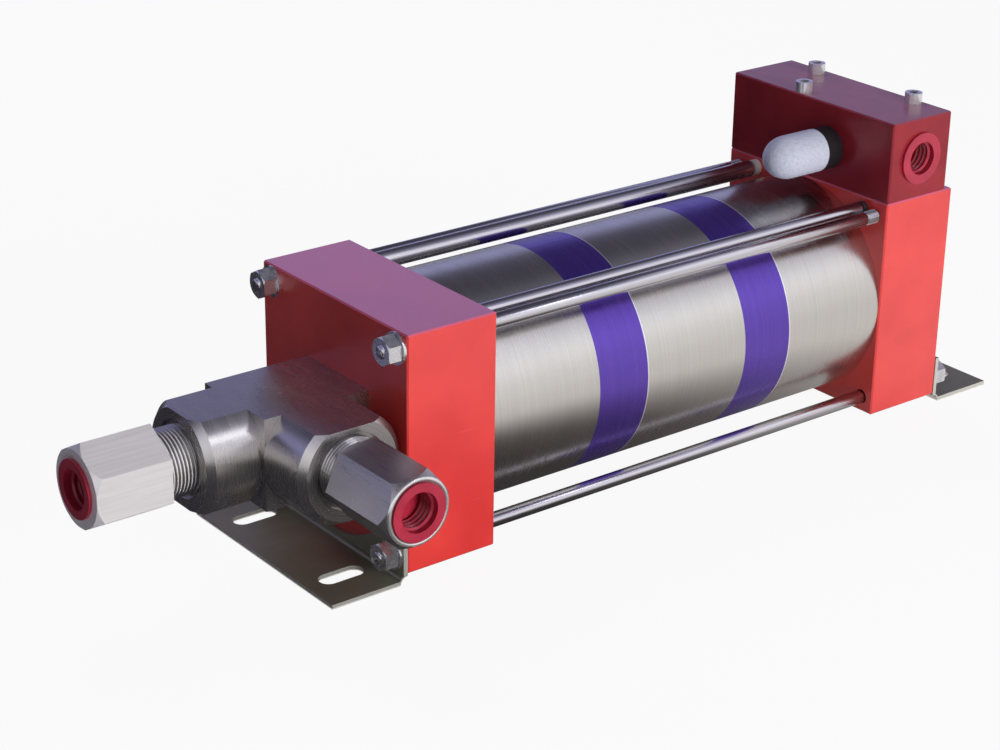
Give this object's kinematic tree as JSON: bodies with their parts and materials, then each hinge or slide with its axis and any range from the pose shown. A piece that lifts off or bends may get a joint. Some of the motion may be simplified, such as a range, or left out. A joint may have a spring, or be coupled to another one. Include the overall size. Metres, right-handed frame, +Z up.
{
  "type": "air-driven hydraulic pump",
  "caption": "Air-driven hydraulic pump with red end blocks, silver and violet air barrels, a stainless high-pressure head and foot brackets.",
  "frame": {"origin": "on the mounting surface, at the centre of the four foot slots", "axes": "+X along the pump axis from the high-pressure head to the air valve end; +Z up; -Y towards the delivery and air ports"},
  "size_m": [0.5821, 0.1861, 0.1885],
  "materials": {
    "red_anodised": "satin anodised red",
    "barrel_silver": "satin anodised silver",
    "separator_violet": "satin anodised violet",
    "polished_steel": "polished stainless",
    "turned_steel": "turned stainless",
    "hex_steel": "drawn stainless hexagon",
    "fastener_steel": "bright zinc",
    "bracket_steel": "olive passivated sheet",
    "plug_plastic": "soft red plastic",
    "silencer_white": "sintered porous plastic",
    "silencer_black": "moulded black",
    "collar_light": "light grey",
    "collar_dark": "black rubber",
    "bearing_bronze": "bored",
    "seal_rubber": "matte",
    "seal_plastic": "filled seal plastic",
    "piston_alloy": "turned",
    "hard_steel": "ground",
    "spring_steel": "drawn wire"
  },
  "bodies": {
    "housing": {"front_cap": "red_anodised", "rear_cap": "red_anodised", "valve_block": "red_anodised", "barrel_front": "barrel_silver", "barrel_middle": "barrel_silver", "barrel_rear": "barrel_silver", "separator_front": "separator_violet", "separator_rear": "separator_violet", "tie_rods": "polished_steel", "transfer_tube": "polished_steel", "pilot_tube": "polished_steel", "pressure_head": "turned_steel", "inlet_fitting": "hex_steel", "outlet_fitting": "hex_steel", "tie_rod_nuts": "fastener_steel", "tie_rod_washers": "fastener_steel", "valve_block_screws": "fastener_steel", "front_bracket": "bracket_steel", "rear_bracket": "bracket_steel", "inlet_plug": "plug_plastic", "outlet_plug": "plug_plastic", "air_inlet_plug": "plug_plastic", "silencer_cap": "silencer_white", "silencer_base": "silencer_black", "transfer_tube_collar": "collar_light", "pilot_tube_collar": "collar_dark", "front_rod_bush": "bearing_bronze", "separator_bushes": "bearing_bronze", "plunger_bush": "bearing_bronze", "pilot_guides": "bearing_bronze", "barrel_seals": "seal_rubber", "front_rod_seal": "seal_rubber", "separator_rod_seals": "seal_rubber", "plunger_packing": "seal_plastic", "spool_liner": "piston_alloy", "spool_end_plug": "piston_alloy", "valve_seats": "hard_steel", "spring_stops": "hard_steel", "inlet_valve_spring": "spring_steel", "outlet_valve_spring": "spring_steel", "front_pilot_spring": "spring_steel", "rear_pilot_spring": "spring_steel"},
    "drive_pistons": {"piston_front": "piston_alloy", "piston_middle": "piston_alloy", "piston_rear": "piston_alloy", "piston_seals": "seal_rubber", "piston_guide_rings": "seal_plastic", "drive_rod": "hard_steel", "rod_sleeve_front": "hard_steel", "rod_sleeve_rear": "hard_steel", "rod_nose": "hard_steel", "rod_nut": "hard_steel", "plunger": "hard_steel"},
    "spool_valve": {"spool": "piston_alloy", "spool_seals": "seal_rubber"},
    "inlet_check": {"inlet_poppet": "hard_steel"},
    "outlet_check": {"outlet_poppet": "hard_steel"},
    "front_pin": {"front_pilot_pin": "hard_steel"},
    "rear_pin": {"rear_pilot_pin": "hard_steel"}
  },
  "joints": [
    {"name": "drive_stroke", "type": "slide", "parent": "housing", "child": "drive_pistons", "axis": [1, 0, 0], "range_m": [-0.0165, 0.0165]},
    {"name": "spool_shift", "type": "slide", "parent": "housing", "child": "spool_valve", "axis": [0, 1, 0], "range_m": [-0.006, 0.006]},
    {"name": "inlet_check_lift", "type": "slide", "parent": "housing", "child": "inlet_check", "axis": [1, 0, 0], "range_m": [0, 0.0025], "stiffness_N_per_m": 600, "springref_m": -0.002, "deforming": ["inlet_valve_spring"]},
    {"name": "outlet_check_lift", "type": "slide", "parent": "housing", "child": "outlet_check", "axis": [0, -1, 0], "range_m": [0, 0.0025], "stiffness_N_per_m": 600, "springref_m": -0.002, "deforming": ["outlet_valve_spring"]},
    {"name": "front_pin_press", "type": "slide", "parent": "housing", "child": "front_pin", "axis": [-1, 0, 0], "range_m": [0, 0.0025], "stiffness_N_per_m": 800, "springref_m": -0.002, "deforming": ["front_pilot_spring"]},
    {"name": "rear_pin_press", "type": "slide", "parent": "housing", "child": "rear_pin", "axis": [1, 0, 0], "range_m": [0, 0.0025], "stiffness_N_per_m": 800, "springref_m": -0.002, "deforming": ["rear_pilot_spring"]}
  ]
}
